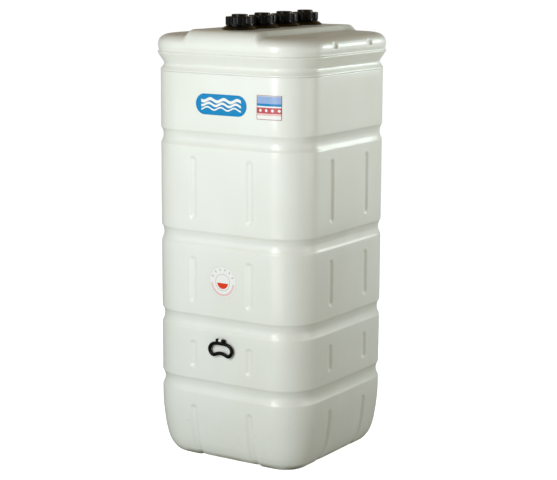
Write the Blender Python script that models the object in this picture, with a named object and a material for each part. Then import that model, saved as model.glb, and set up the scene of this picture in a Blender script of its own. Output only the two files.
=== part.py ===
"""A double-walled vertical storage tank for liquids, standing on four moulded feet.

An outer containment tank holds an inner tank, whose flared head covers the rim and carries four
screw-capped necks. A grip handle hangs on the front. All lengths are in metres and +Z is up.
"""

import math

import bmesh
import bpy
from mathutils import Matrix, Vector

# Plan of the outer tank
BODY_WIDTH = 0.750
BODY_DEPTH = 0.770
CORNER_RADIUS = 0.160
CORNER_STEPS = 6

# Heights above the floor
BASE_SEAM_Z = 0.3245
LOWER_GROOVE_Z = 0.598
MIDDLE_GROOVE_Z = 0.9475
UPPER_GROOVE_Z = 1.356
RIM_Z = 1.6205
HEAD_SEAM_Z = 1.602
BEAD_Z = 1.695
SHOULDER_Z = 1.727
LEDGE_Z = 1.770
BRIDGE_Z = 1.793

# Grooves and walls
GROOVE_DEPTH = 0.0105
GROOVE_ROWS = ((-0.0330, 0.0), (-0.0245, 0.48), (-0.0125, 0.84), (0.0120, 0.84), (0.0230, 0.48), (0.0310, 0.0))
OUTER_BORE_INSET = 0.0155
RIM_BORE_INSET = 0.0124
RIM_ROUNDING = 0.0015
HEAD_NECK_INSET = 0.0140
INNER_WALL_INSET = 0.0168
INNER_BORE_INSET = 0.0218
SEAT_GAP = 0.0003

# Sunk upright ribs, two on each side of each lower panel
RIB_HALF_SPACING = 0.138
RIB_HALF_WIDTH = 0.0225
RIB_FLOOR_HALF_WIDTH = 0.005
RIB_DEPTH = 0.007
RIB_SPANS = ((1.019, 1.287), (0.673, 0.875), (0.398, 0.520))
BASE_RIB_TOP_Z = 0.2445
BASE_RIB_TOP = ((0.0, 0.5, 0.0005), (-0.0085, 0.9, 0.0055), (-0.0175, 1.0, 0.0070))
BASE_RIB_END = (0.130, -0.002)
END_STEPS = 5
CUTTER_PROUD = 0.003

# Underside
FLOOR_THICKNESS = 0.022
FOOT_RECESS = 0.010
RECESS_HALF_WIDTH = 0.125
RECESS_SLOPE = 0.008

# Raised bridge on the head
BRIDGE_TOP_HALF_WIDTH = 0.150
BRIDGE_FOOT_HALF_WIDTH = 0.172
BRIDGE_PROUD = 0.0126
BRIDGE_END_DROP = 0.060
BRIDGE_END_RUN = 0.051
BRIDGE_FOOT_Z = 1.702
DIMPLE_Z = 1.737
DIMPLE_RADIUS = 0.0215
DIMPLE_OFFSET = 0.0255

# Necks and caps, from the front to the back
NECK_PITCH = 0.1656
NECK_COUNT = 4
NECK_HOLE_RADIUS = 0.046
SPIGOT_RADIUS = 0.045
NECK_BORE_RADIUS = 0.0405
NECK_THREAD_RADIUS = 0.0472
NECK_FLANGE_RADIUS = 0.073
NECK_FLANGE_TOP_RADIUS = 0.059
NECK_FLANGE_EDGE = 0.0025
NECK_FLANGE_HEIGHT = 0.0125
NECK_HEIGHT = 0.038
SPIGOT_LENGTH = 0.031
NUT_LOBE_RADIUS = 0.057
NUT_VALLEY_RADIUS = 0.0512
NUT_BORE_RADIUS = 0.0484
NUT_WINDOW_RADIUS = 0.034
NUT_BOTTOM = 0.014
NUT_TOP = 0.0515
NUT_CHAMFER = 0.0025
NUT_ROOF = 0.0040
NUT_LOBES = 8
PLUG_FLANGE_RADIUS = 0.0465
PLUG_SKIRT_RADIUS = 0.0397
PLUG_BOSS_RADIUS = 0.0327
PLUG_BOTTOM = 0.020
PLUG_TOP = 0.061
PLUG_CHAMFER = 0.0022
ROUND_STEPS = 24
PLUG_STEPS = 16

# Grip handle
HANDLE_AXIS_Z = 0.536
HANDLE_AXIS_OFFSET = 0.0130
HANDLE_CENTRE_X = 0.008
# Right half of the bar's middle line, from its top to its foot, as (across, z)
HANDLE_LINE = ((0.0, 0.5235), (0.0150, 0.5233), (0.0300, 0.5215), (0.0420, 0.5168), (0.0500, 0.5090),
               (0.0543, 0.4995), (0.0538, 0.4905), (0.0495, 0.4815), (0.0425, 0.4750), (0.0358, 0.4732),
               (0.0270, 0.4757), (0.0150, 0.4803), (0.0, 0.4826))
HANDLE_BAR_RADIUS = 0.0065
EAR_RADIUS = 0.0074
EARS = ((-0.0120, -0.0015), (0.0145, 0.0270))
EAR_FOOT_Z = 0.5220
EAR_FOOT_HALF_DEPTH = 0.0040
PIN_RADIUS = 0.0030
PIN_ENDS = (-0.0150, 0.0300)
EAR_HOLE_RADIUS = 0.0036
LUG_ENDS = (-0.0005, 0.0130)
LUG_RADIUS = 0.0058
LUG_ROOT_HALF_HEIGHT = 0.0105
LUG_HOLE_RADIUS = 0.0034
HANDLE_STEPS = 12

# Stickers on the front
STICKER_THICKNESS = 0.0008
WIDE_STICKER = (0.003, 1.499, 0.246, 0.084)
SQUARE_STICKER = (0.174, 0.282, 1.453, 1.549)
ROUND_STICKER = (0.010, 0.777, 0.0665)

WHITE = (0.86, 0.87, 0.84, 1.0)
SHADED_WHITE = (0.78, 0.79, 0.75, 1.0)
BLACK = (0.012, 0.012, 0.013, 1.0)
BLUE = (0.02, 0.23, 0.60, 1.0)
PAPER = (0.80, 0.78, 0.78, 1.0)


def clear_scene():
    for old in list(bpy.data.objects):
        bpy.data.objects.remove(old, do_unlink=True)


def make_material(name, colour, roughness):
    material = bpy.data.materials.new(name)
    material.use_nodes = True
    shader = material.node_tree.nodes["Principled BSDF"]
    shader.inputs["Base Color"].default_value = colour
    shader.inputs["Roughness"].default_value = roughness
    shader.inputs["Metallic"].default_value = 0.0
    return material


def add_object(name, bm, material=None, sharp_deg=35.0):
    """Puts a finished mesh into the scene, smooth except where it turns sharply."""
    bmesh.ops.recalc_face_normals(bm, faces=bm.faces)
    mesh = bpy.data.meshes.new(name)
    bm.to_mesh(mesh)
    bm.free()
    mesh.shade_smooth()
    mesh.set_sharp_from_angle(angle=math.radians(sharp_deg))
    if material:
        mesh.materials.append(material)
    obj = bpy.data.objects.new(name, mesh)
    bpy.context.scene.collection.objects.link(obj)
    return obj


def add_axis(name, location):
    """An empty that marks a joint, for the piece that moves on it."""
    axis = bpy.data.objects.new(name, None)
    axis.location = location
    bpy.context.scene.collection.objects.link(axis)
    return axis


def hang_on(piece, axis):
    """Moves a piece's origin onto its axis and parents it there."""
    piece.data.transform(Matrix.Translation(-axis.location))
    piece.parent = axis


def combine(target, other, operation):
    """Joins or cuts with another object, which then only guides."""
    other.hide_render = True
    other.display_type = "WIRE"
    modifier = target.modifiers.new(other.name, "BOOLEAN")
    modifier.operation = operation
    modifier.solver = "EXACT"
    modifier.object = other


def plan_outline(inset, z):
    """The tank's rounded plan, drawn in by inset all round, at height z."""
    radius = CORNER_RADIUS - inset
    middle_x = BODY_WIDTH / 2 - CORNER_RADIUS
    middle_y = BODY_DEPTH / 2 - CORNER_RADIUS
    points = []
    for quarter, (side_x, side_y) in enumerate(((1, 1), (-1, 1), (-1, -1), (1, -1))):
        for step in range(CORNER_STEPS + 1):
            angle = math.radians(90 * quarter + 90 * step / CORNER_STEPS)
            points.append((side_x * middle_x + radius * math.cos(angle),
                           side_y * middle_y + radius * math.sin(angle), z))
    return points


def add_ring(bm, points):
    return [bm.verts.new(point) for point in points]


def skin(bm, first, second):
    """A strip of faces between two rings of as many points."""
    for i in range(len(first)):
        j = (i + 1) % len(first)
        bm.faces.new((first[i], first[j], second[j], second[i]))


def loft(rings, ends, bm=None):
    """Skins a list of rings, with end faces for 'closed' or round to the first for 'joined'."""
    bm = bm or bmesh.new()
    made = [add_ring(bm, points) for points in rings]
    for first, second in zip(made, made[1:]):
        skin(bm, first, second)
    if ends == "joined":
        skin(bm, made[-1], made[0])
    else:
        bm.faces.new(made[0])
        bm.faces.new(made[-1])
    return bm


def loft_plan(levels, ends):
    """Lofts the tank's plan through (inset, z) levels."""
    return loft([plan_outline(inset, z) for inset, z in levels], ends)


def groove_levels(z, lowest=-1.0, highest=1.0):
    """The (inset, z) levels of a level groove, from below to above."""
    return [(GROOVE_DEPTH * share, z + rise) for rise, share in GROOVE_ROWS if lowest < rise < highest]


def on_each_side(rings, quarter_turns):
    """Turns rings drawn for the front onto one of the four sides."""
    shift = 0.0 if quarter_turns % 2 == 0 else (BODY_DEPTH - BODY_WIDTH) / 2
    turn = Matrix.Rotation(math.radians(90 * quarter_turns), 3, "Z")
    return [[turn @ Vector((x, y + shift, z)) for x, y, z in points] for points in rings]


def wall_rib_rings(bottom_z, top_z, side):
    """The two rings of a long round-ended wedge that sinks one rib into the front."""

    def outline(half_width, depth):
        points = []
        for centre_z, start in ((top_z - RIB_HALF_WIDTH, 0), (bottom_z + RIB_HALF_WIDTH, 180)):
            for step in range(END_STEPS + 1):
                angle = math.radians(start + 180 * step / END_STEPS)
                points.append((side * RIB_HALF_SPACING + half_width * math.cos(angle),
                               depth - BODY_DEPTH / 2, centre_z + half_width * math.sin(angle)))
        return points

    widening = (RIB_HALF_WIDTH - RIB_FLOOR_HALF_WIDTH) / RIB_DEPTH
    return [outline(RIB_HALF_WIDTH + widening * CUTTER_PROUD, -CUTTER_PROUD),
            outline(RIB_FLOOR_HALF_WIDTH, RIB_DEPTH)]


def base_rib_rings(side):
    """The rings of a bar that sinks a rib into the lowest panel's front and on round its lower edge."""
    course = [(0.0, BASE_RIB_TOP_Z + drop, share, depth) for drop, share, depth in BASE_RIB_TOP]
    course += [(inset, z, 1.0, RIB_DEPTH) for inset, z in base_rise()[-2::-1]]
    course.append((*BASE_RIB_END, 1.0, RIB_DEPTH))
    rings = []
    for here, (inset, z, share, depth) in enumerate(course):
        before, after = course[max(here - 1, 0)], course[min(here + 1, len(course) - 1)]
        run, fall = after[0] - before[0], after[1] - before[1]
        length = math.hypot(run, fall)
        points = []
        edges = ((RIB_HALF_WIDTH * share, CUTTER_PROUD), (RIB_FLOOR_HALF_WIDTH * share, -depth))
        for half_width, out in edges:
            y = inset + out * fall / length - BODY_DEPTH / 2
            across = (-half_width, half_width) if out > 0 else (half_width, -half_width)
            points += [(side * RIB_HALF_SPACING + x, y, z - out * run / length) for x in across]
        rings.append(points)
    return rings


def cut_ribs(target, front_ribs):
    """Sinks the same ribs, given as rings for the front, into all four sides at once."""
    bm = bmesh.new()
    for rings in front_ribs:
        for turns in range(4):
            loft(on_each_side(rings, turns), "closed", bm)
    combine(target, add_object(f"{target.name}_ribs", bm), "DIFFERENCE")


def make_outer_wall(material):
    levels = [(GROOVE_DEPTH, BASE_SEAM_Z + SEAT_GAP / 2)]
    levels += groove_levels(BASE_SEAM_Z, lowest=0.006)
    for z in (LOWER_GROOVE_Z, MIDDLE_GROOVE_Z, UPPER_GROOVE_Z):
        levels += groove_levels(z)
    levels += [(0.0, RIM_Z - RIM_ROUNDING), (RIM_ROUNDING, RIM_Z), (RIM_BORE_INSET, RIM_Z)]
    levels += [(RIM_BORE_INSET, HEAD_SEAM_Z - 0.015), (OUTER_BORE_INSET, HEAD_SEAM_Z - 0.025)]
    levels += [(OUTER_BORE_INSET, BASE_SEAM_Z + SEAT_GAP / 2)]
    wall = add_object("outer_wall", loft_plan(levels, "joined"), material)
    cut_ribs(wall, [wall_rib_rings(low, high, side) for low, high in RIB_SPANS for side in (-1, 1)])
    return wall


def base_rise():
    """The (inset, z) levels of the rounded lower edge, from the floor up to the lowest panel."""
    return [(0.093, 0.0), (0.075, 0.0030), (0.060, 0.0110), (0.045, 0.0265), (0.033, 0.0460),
            (0.0235, 0.0685), (0.0155, 0.1010), (0.0098, 0.1360), (0.0050, 0.1730), (0.0, 0.220)]


def base_floor(gap=0.0):
    """The (inset, z) levels of the pan's inside, or of what stands in it with a gap."""
    levels = [(0.100, FLOOR_THICKNESS), (0.071, 0.033), (0.051, 0.054), (0.0385, 0.081), (0.0285, 0.120),
              (0.0205, 0.165)]
    return [(inset + 4 * gap, z + gap) for inset, z in levels]


def recess_cutter(name, along_y):
    """A long trapezoid bar that hollows the underside between the feet."""
    reach = BODY_DEPTH if along_y else BODY_WIDTH
    slope = RECESS_SLOPE / FOOT_RECESS
    low = 0.005
    rings = []
    for end in (-reach, reach):
        roof, mouth = RECESS_HALF_WIDTH - RECESS_SLOPE, RECESS_HALF_WIDTH + slope * low
        section = ((-mouth, -low), (mouth, -low), (roof, FOOT_RECESS), (-roof, FOOT_RECESS))
        rings.append([(across, end, z) if along_y else (end, across, z) for across, z in section])
    return add_object(name, loft(rings, "closed"))


def make_outer_base(material):
    levels = base_floor() + [(OUTER_BORE_INSET, 0.235), (OUTER_BORE_INSET, BASE_SEAM_Z - SEAT_GAP / 2)]
    levels += [(GROOVE_DEPTH, BASE_SEAM_Z - SEAT_GAP / 2)]
    levels += groove_levels(BASE_SEAM_Z, highest=-0.006)[::-1]
    levels += base_rise()[::-1]
    base = add_object("outer_base", loft_plan(levels, "closed"), material)
    combine(base, recess_cutter("recess_cut_front_to_back", True), "DIFFERENCE")
    combine(base, recess_cutter("recess_cut_side_to_side", False), "DIFFERENCE")
    cut_ribs(base, [base_rib_rings(side) for side in (-1, 1)])
    return base


def make_inner_bottom(material):
    """The inner tank's lower end, standing in the outer pan."""
    top_z = BASE_SEAM_Z + 0.010
    outer = base_floor(SEAT_GAP) + [(INNER_WALL_INSET, 0.237), (INNER_WALL_INSET, top_z)]
    inner = [(INNER_BORE_INSET, top_z), (INNER_BORE_INSET + 0.0005, 0.237), (0.0265, 0.167), (0.0350, 0.123),
             (0.0455, 0.086), (0.0580, 0.060), (0.0770, 0.0395), (0.104, 0.0285)]
    return add_object("inner_bottom", loft_plan(outer + inner, "closed"), material)


def make_inner_wall(material):
    low = BASE_SEAM_Z + 0.010 + SEAT_GAP
    high = HEAD_SEAM_Z - SEAT_GAP
    levels = [(INNER_WALL_INSET, low), (INNER_WALL_INSET, high), (INNER_BORE_INSET, high),
              (INNER_BORE_INSET, low)]
    return add_object("inner_wall", loft_plan(levels, "joined"), material)


def head_levels():
    """The (inset, z) levels of the head, up its outside from the seam and its hollow underneath."""
    hollow = [(0.050, 1.7630), (0.024, 1.7595), (0.008, 1.7510), (0.0, 1.7390), (-0.0020, 1.7270),
              (-0.0015, 1.7150), (0.0020, 1.6980), (INNER_BORE_INSET, 1.6590),
              (INNER_BORE_INSET, HEAD_SEAM_Z)]
    skirt_z = RIM_Z + SEAT_GAP
    outside = [(HEAD_NECK_INSET, HEAD_SEAM_Z), (HEAD_NECK_INSET, skirt_z), (RIM_ROUNDING, skirt_z),
               (0.0, skirt_z + RIM_ROUNDING), (0.0, 1.6255), (0.0015, 1.6290), (0.0100, 1.6385), (0.0132, 1.6435),
               (HEAD_NECK_INSET, 1.6490), (0.0128, 1.6540), (-0.0122, BEAD_Z - 0.0025),
               (-0.0124, BEAD_Z + 0.0010), (-0.0072, BEAD_Z + 0.0060), (-0.0078, BEAD_Z + 0.0115),
               (-0.0104, SHOULDER_Z - 0.0120), (-0.0108, SHOULDER_Z - 0.0030), (-0.0104, SHOULDER_Z + 0.0070),
               (-0.0080, SHOULDER_Z + 0.0155), (-0.0030, SHOULDER_Z + 0.0235), (0.0050, SHOULDER_Z + 0.0310),
               (0.0160, SHOULDER_Z + 0.0372), (0.0320, LEDGE_Z - 0.0014), (0.0550, LEDGE_Z)]
    return hollow + outside


def bridge_half_width(z):
    """The bridge's sloped sides narrow from the ledge up to its top."""
    rise = min(max((z - LEDGE_Z) / (BRIDGE_Z - LEDGE_Z), 0.0), 1.0)
    return BRIDGE_FOOT_HALF_WIDTH + (BRIDGE_TOP_HALF_WIDTH - BRIDGE_FOOT_HALF_WIDTH) * rise


def make_bridge():
    """The raised band from front to back, as a bent bar whose underside lies within the head's wall."""
    front = BODY_DEPTH / 2 + BRIDGE_PROUD
    outer = [(front, BRIDGE_FOOT_Z)]
    for step in range(6):
        angle = math.radians(90 * step / 5)
        outer.append((front - BRIDGE_END_RUN * (1 - math.cos(angle)),
                      BRIDGE_Z - BRIDGE_END_DROP * (1 - math.sin(angle))))
    under = [(0.3885, BRIDGE_FOOT_Z), (0.3915, 1.727), (0.3895, 1.739), (0.3830, 1.7495), (0.3730, 1.7582),
             (0.3600, 1.7632), (0.3350, 1.7663)]
    path = [(-y, z, -low_y, low_z) for (y, z), (low_y, low_z) in zip(outer, under)]
    path += [(-y, z, -low_y, low_z) for y, z, low_y, low_z in path[::-1]]
    rings = []
    for y, z, low_y, low_z in path:
        top, foot = bridge_half_width(z), bridge_half_width(low_z)
        rings.append([(-top, y, z), (top, y, z), (foot, low_y, low_z), (-foot, low_y, low_z)])
    return add_object("bridge_guide", loft(rings, "closed"))


def upright_cylinder(name, radius, low, high, x, y, steps):
    bm = bmesh.new()
    bmesh.ops.create_cone(bm, cap_ends=True, segments=steps, radius1=radius, radius2=radius, depth=high - low,
                          matrix=Matrix.Translation((x, y, (low + high) / 2)))
    return add_object(name, bm)


def neck_places():
    """Where the necks stand along the middle, from the front to the back."""
    middle = (NECK_COUNT - 1) / 2
    return [(number + 1, (number - middle) * NECK_PITCH) for number in range(NECK_COUNT)]


def make_inner_head(material):
    head = add_object("inner_head", loft_plan(head_levels(), "closed"), material)
    combine(head, make_bridge(), "UNION")
    for number, y in neck_places():
        hole = upright_cylinder(f"neck_hole_{number}", NECK_HOLE_RADIUS, SHOULDER_Z, BRIDGE_Z + 0.02, 0.0, y,
                                ROUND_STEPS)
        combine(head, hole, "DIFFERENCE")
    for side in (-1, 1):
        for end in (-1, 1):
            bm = bmesh.new()
            bmesh.ops.create_uvsphere(bm, u_segments=12, v_segments=8, radius=DIMPLE_RADIUS)
            name = f"dimple_{'left' if side < 0 else 'right'}_{'front' if end < 0 else 'back'}"
            dimple = add_object(name, bm)
            dimple.location = (side * (BODY_WIDTH / 2 + DIMPLE_OFFSET), end * RIB_HALF_SPACING, DIMPLE_Z)
            combine(head, dimple, "DIFFERENCE")
    return head


def turned(name, profile, material, steps):
    """Spins an (r, z) profile about Z."""
    bm = bmesh.new()
    verts = [bm.verts.new((radius, 0.0, z)) for radius, z in profile]
    edges = [bm.edges.new(pair) for pair in zip(verts, verts[1:])]
    if profile[0][0] > 0.0:
        edges.append(bm.edges.new((verts[-1], verts[0])))
    bmesh.ops.spin(bm, geom=verts + edges, cent=(0, 0, 0), axis=(0, 0, 1), angle=2 * math.pi, steps=steps,
                   use_merge=True)
    bmesh.ops.remove_doubles(bm, verts=bm.verts, dist=0.00001)
    return add_object(name, bm, material)


def make_neck_fitting(number, y, material):
    """A threaded neck with a sloped flange, its spigot in the head's hole."""
    profile = [(NECK_BORE_RADIUS, -SPIGOT_LENGTH), (SPIGOT_RADIUS, -SPIGOT_LENGTH), (SPIGOT_RADIUS, SEAT_GAP),
               (NECK_FLANGE_RADIUS, SEAT_GAP), (NECK_FLANGE_RADIUS, NECK_FLANGE_EDGE),
               (NECK_FLANGE_TOP_RADIUS, NECK_FLANGE_HEIGHT), (NECK_THREAD_RADIUS, NECK_FLANGE_HEIGHT),
               (NECK_THREAD_RADIUS, NECK_HEIGHT), (NECK_BORE_RADIUS, NECK_HEIGHT)]
    fitting = turned(f"neck_fitting_{number}", profile, material, ROUND_STEPS)
    fitting.location = (0.0, y, BRIDGE_Z)
    return fitting


def make_plug(number, y, material):
    """The plug that closes a neck, its boss standing up through the nut."""
    axis = add_axis(f"cap_{number}_lift_axis", (0.0, y, BRIDGE_Z))
    seat = NECK_HEIGHT + SEAT_GAP
    under_nut = NUT_TOP - NUT_ROOF - SEAT_GAP
    profile = [(0.0, PLUG_BOTTOM), (PLUG_SKIRT_RADIUS, PLUG_BOTTOM), (PLUG_SKIRT_RADIUS, seat),
               (PLUG_FLANGE_RADIUS, seat), (PLUG_FLANGE_RADIUS, under_nut), (PLUG_BOSS_RADIUS, under_nut),
               (PLUG_BOSS_RADIUS, PLUG_TOP - PLUG_CHAMFER), (PLUG_BOSS_RADIUS - PLUG_CHAMFER, PLUG_TOP),
               (0.0, PLUG_TOP)]
    plug = turned(f"cap_{number}_plug", profile, material, PLUG_STEPS)
    plug.parent = axis
    return plug, axis


def round_points(radius, z):
    return [(radius * math.cos(2 * math.pi * step / ROUND_STEPS),
             radius * math.sin(2 * math.pi * step / ROUND_STEPS), z) for step in range(ROUND_STEPS)]


def lobed_points(shrink, z):
    """A ring with flat-topped grips all round, one valley point and two grip points for each."""
    points = []
    for lobe in range(NUT_LOBES):
        for share, radius in ((0.0, NUT_VALLEY_RADIUS), (0.30, NUT_LOBE_RADIUS), (0.70, NUT_LOBE_RADIUS)):
            angle = 2 * math.pi * (lobe + share) / NUT_LOBES
            points.append(((radius - shrink) * math.cos(angle), (radius - shrink) * math.sin(angle), z))
    return points


def make_nut(number, axis, material):
    """The union nut, which turns on the neck's thread and holds the plug down."""
    under_top = NUT_TOP - NUT_ROOF
    rings = [lobed_points(0.0, NUT_BOTTOM), lobed_points(0.0, NUT_TOP - NUT_CHAMFER),
             lobed_points(NUT_CHAMFER, NUT_TOP), round_points(NUT_WINDOW_RADIUS, NUT_TOP),
             round_points(NUT_WINDOW_RADIUS, under_top), round_points(NUT_BORE_RADIUS, under_top),
             round_points(NUT_BORE_RADIUS, NUT_BOTTOM)]
    nut = add_object(f"cap_{number}_nut", loft(rings, "joined"), material)
    turn = add_axis(f"cap_{number}_turn_axis", (0.0, 0.0, 0.0))
    turn.parent = axis
    nut.parent = turn
    return nut


def handle_line():
    """The points of the grip's kidney-shaped middle line, once round."""
    right = [(HANDLE_CENTRE_X + across, z) for across, z in HANDLE_LINE]
    left = [(HANDLE_CENTRE_X - across, z) for across, z in HANDLE_LINE[-2:0:-1]]
    return right + left


def handle_grip():
    """An eight-sided bar along the closed middle line."""
    front = -BODY_DEPTH / 2 - HANDLE_AXIS_OFFSET
    line = handle_line()
    rings = []
    for here, (x, z) in enumerate(line):
        (behind_x, behind_z), (ahead_x, ahead_z) = line[here - 1], line[(here + 1) % len(line)]
        length = math.hypot(ahead_x - behind_x, ahead_z - behind_z)
        out_x, out_z = (ahead_z - behind_z) / length, (behind_x - ahead_x) / length
        ring = []
        for corner in range(8):
            angle = math.radians(22.5 + 45 * corner)
            aside = HANDLE_BAR_RADIUS * math.cos(angle)
            ring.append((x + out_x * aside, front + HANDLE_BAR_RADIUS * math.sin(angle), z + out_z * aside))
        rings.append(ring)
    return loft(rings, "joined")


def cross_bar(name, radius, ends, steps):
    """A round bar along X, on the handle's axis."""
    bm = bmesh.new()
    place = Matrix.Translation(((ends[0] + ends[1]) / 2, -BODY_DEPTH / 2 - HANDLE_AXIS_OFFSET, HANDLE_AXIS_Z))
    bmesh.ops.create_cone(bm, cap_ends=True, segments=steps, radius1=radius, radius2=radius,
                          depth=ends[1] - ends[0], matrix=place @ Matrix.Rotation(math.radians(90), 4, "Y"))
    return add_object(name, bm)


def extrude_across(name, outline, ends):
    """A (y, z) outline given a thickness along X."""
    rings = [[(x, y, z) for y, z in outline] for x in ends]
    return add_object(name, loft(rings, "closed"))


def make_handle(material):
    """The grip with its two ears, which swings on the pin."""
    axis_y = -BODY_DEPTH / 2 - HANDLE_AXIS_OFFSET
    handle = add_object("handle_grip", handle_grip(), material)
    for number, ends in enumerate(EARS):
        outline = [(axis_y + EAR_RADIUS * math.cos(math.radians(angle)),
                    HANDLE_AXIS_Z + EAR_RADIUS * math.sin(math.radians(angle))) for angle in range(-30, 211, 30)]
        outline += [(axis_y - EAR_FOOT_HALF_DEPTH, EAR_FOOT_Z), (axis_y + EAR_FOOT_HALF_DEPTH, EAR_FOOT_Z)]
        combine(handle, extrude_across(f"ear_guide_{number}", outline, ends), "UNION")
    hole = cross_bar("ear_hole", EAR_HOLE_RADIUS, (PIN_ENDS[0] - 0.01, PIN_ENDS[1] + 0.01), HANDLE_STEPS)
    combine(handle, hole, "DIFFERENCE")
    axis = add_axis("handle_axis", (HANDLE_CENTRE_X, axis_y, HANDLE_AXIS_Z))
    hang_on(handle, axis)
    return handle


def make_handle_pin(material):
    pin = cross_bar("handle_pin", PIN_RADIUS, PIN_ENDS, HANDLE_STEPS)
    pin.data.materials.append(material)
    return pin


def make_handle_lug(material):
    """The moulded lug between the ears, which carries the pin."""
    wall_y = -BODY_DEPTH / 2 - SEAT_GAP
    axis_y = -BODY_DEPTH / 2 - HANDLE_AXIS_OFFSET
    outline = [(wall_y, HANDLE_AXIS_Z - LUG_ROOT_HALF_HEIGHT), (wall_y, HANDLE_AXIS_Z + LUG_ROOT_HALF_HEIGHT)]
    outline += [(axis_y + LUG_RADIUS * math.cos(math.radians(angle)),
                 HANDLE_AXIS_Z + LUG_RADIUS * math.sin(math.radians(angle))) for angle in range(75, 286, 30)]
    lug = extrude_across("handle_lug", outline, LUG_ENDS)
    lug.data.materials.append(material)
    hole = cross_bar("lug_hole", LUG_HOLE_RADIUS, (LUG_ENDS[0] - 0.01, LUG_ENDS[1] + 0.01), HANDLE_STEPS)
    combine(lug, hole, "DIFFERENCE")
    return lug


def front_surface(x, out):
    """The point at x on the right half of the front's plan, raised by out, and its corner's first facets."""
    radius = CORNER_RADIUS + out
    corners = [(0.0, -BODY_DEPTH / 2 - out)]
    for step in range(CORNER_STEPS // 2 + 1):
        angle = math.radians(90 * step / CORNER_STEPS)
        corners.append((BODY_WIDTH / 2 - CORNER_RADIUS + radius * math.sin(angle),
                        CORNER_RADIUS - BODY_DEPTH / 2 - radius * math.cos(angle)))
    for (near_x, near_y), (far_x, far_y) in zip(corners, corners[1:]):
        if x <= far_x:
            return x, near_y + (far_y - near_y) * (x - near_x) / (far_x - near_x)
    return corners[-1]


def make_flat_sticker(name, outline, material):
    """A sticker with an (x, z) outline on the flat part of the front."""
    near = -BODY_DEPTH / 2 - SEAT_GAP
    rings = [[(x, y, z) for x, z in outline] for y in (near, near - STICKER_THICKNESS)]
    return add_object(name, loft(rings, "closed"), material)


def stadium(centre_x, centre_z, width, height, steps=8):
    points = []
    for side, start in ((1, -90), (-1, 90)):
        for step in range(steps + 1):
            angle = math.radians(start + 180 * step / steps)
            points.append((centre_x + side * (width - height) / 2 + height / 2 * math.cos(angle),
                           centre_z + height / 2 * math.sin(angle)))
    return points


def circle(centre_x, centre_z, radius, steps=24):
    return [(centre_x + radius * math.cos(2 * math.pi * step / steps),
             centre_z + radius * math.sin(2 * math.pi * step / steps)) for step in range(steps)]


def make_square_sticker(material):
    """A sticker that bends round onto the corner, one strip for each facet that it covers."""
    left, right, low, high = SQUARE_STICKER
    straight = BODY_WIDTH / 2 - CORNER_RADIUS
    bend = straight + CORNER_RADIUS * math.sin(math.radians(90 / CORNER_STEPS))
    rings = []
    for x in (left, straight, bend, right):
        near, far = front_surface(x, SEAT_GAP), front_surface(x, SEAT_GAP + STICKER_THICKNESS)
        rings.append([(*near, low), (*far, low), (*far, high), (*near, high)])
    return add_object("square_sticker", loft(rings, "closed"), material)


def main():
    clear_scene()
    white = make_material("white_polyethylene", WHITE, 0.42)
    inner_white = make_material("inner_polyethylene", SHADED_WHITE, 0.5)
    black = make_material("black_plastic", BLACK, 0.35)
    blue = make_material("blue_film", BLUE, 0.3)
    paper = make_material("printed_film", PAPER, 0.4)
    make_outer_base(white)
    make_outer_wall(white)
    make_inner_bottom(inner_white)
    make_inner_wall(inner_white)
    make_inner_head(white)
    for number, y in neck_places():
        make_neck_fitting(number, y, black)
        axis = make_plug(number, y, black)[1]
        make_nut(number, axis, black)
    make_handle_lug(white)
    make_handle_pin(black)
    make_handle(black)
    make_flat_sticker("wide_sticker", stadium(*WIDE_STICKER), blue)
    make_flat_sticker("round_sticker", circle(*ROUND_STICKER), paper)
    make_square_sticker(paper)


main()
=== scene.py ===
import math

import bmesh
import bpy
from mathutils import Matrix, Vector, noise


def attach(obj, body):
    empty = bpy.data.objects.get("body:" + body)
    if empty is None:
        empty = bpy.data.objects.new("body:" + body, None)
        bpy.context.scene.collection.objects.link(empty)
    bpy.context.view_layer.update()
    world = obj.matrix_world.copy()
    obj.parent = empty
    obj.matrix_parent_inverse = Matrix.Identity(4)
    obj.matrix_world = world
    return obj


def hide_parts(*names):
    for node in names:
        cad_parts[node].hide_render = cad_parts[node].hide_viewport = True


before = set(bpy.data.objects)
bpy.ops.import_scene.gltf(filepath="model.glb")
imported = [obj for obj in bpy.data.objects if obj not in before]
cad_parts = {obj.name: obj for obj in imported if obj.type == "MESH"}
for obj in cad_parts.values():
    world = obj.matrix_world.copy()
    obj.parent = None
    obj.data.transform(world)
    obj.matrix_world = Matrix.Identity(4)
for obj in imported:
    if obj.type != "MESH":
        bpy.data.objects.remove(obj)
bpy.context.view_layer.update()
print("frame loaded:", len(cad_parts), "nodes")


# Shared helpers

mergeDistance = 0.000002  # metres; points this close are one


def smoothStep(low, high, value):
    share = min(max((value - low) / (high - low), 0.0), 1.0)
    return share * share * (3 - 2 * share)


def mix(first, second, share):
    return first + (second - first) * share


def spread(middle, reach, step):
    # evenly spaced places from middle - reach to middle + reach
    count = round(reach / step)
    return [middle + step * number for number in range(-count, count + 1)]


def addPiece(name, bm, material, body, replaced=(), sharpDeg=None):
    # a finished bmesh becomes a piece that rides on its body
    bmesh.ops.remove_doubles(bm, verts=bm.verts, dist=mergeDistance)
    bmesh.ops.recalc_face_normals(bm, faces=bm.faces)
    mesh = bpy.data.meshes.new(name)
    bm.to_mesh(mesh)
    bm.free()
    mesh.shade_smooth()
    if sharpDeg:
        mesh.set_sharp_from_angle(angle=math.radians(sharpDeg))
    mesh.materials.append(material)
    piece = bpy.data.objects.new(name, mesh)
    bpy.context.scene.collection.objects.link(piece)
    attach(piece, body)
    if replaced:
        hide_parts(*replaced)
    return piece


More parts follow.
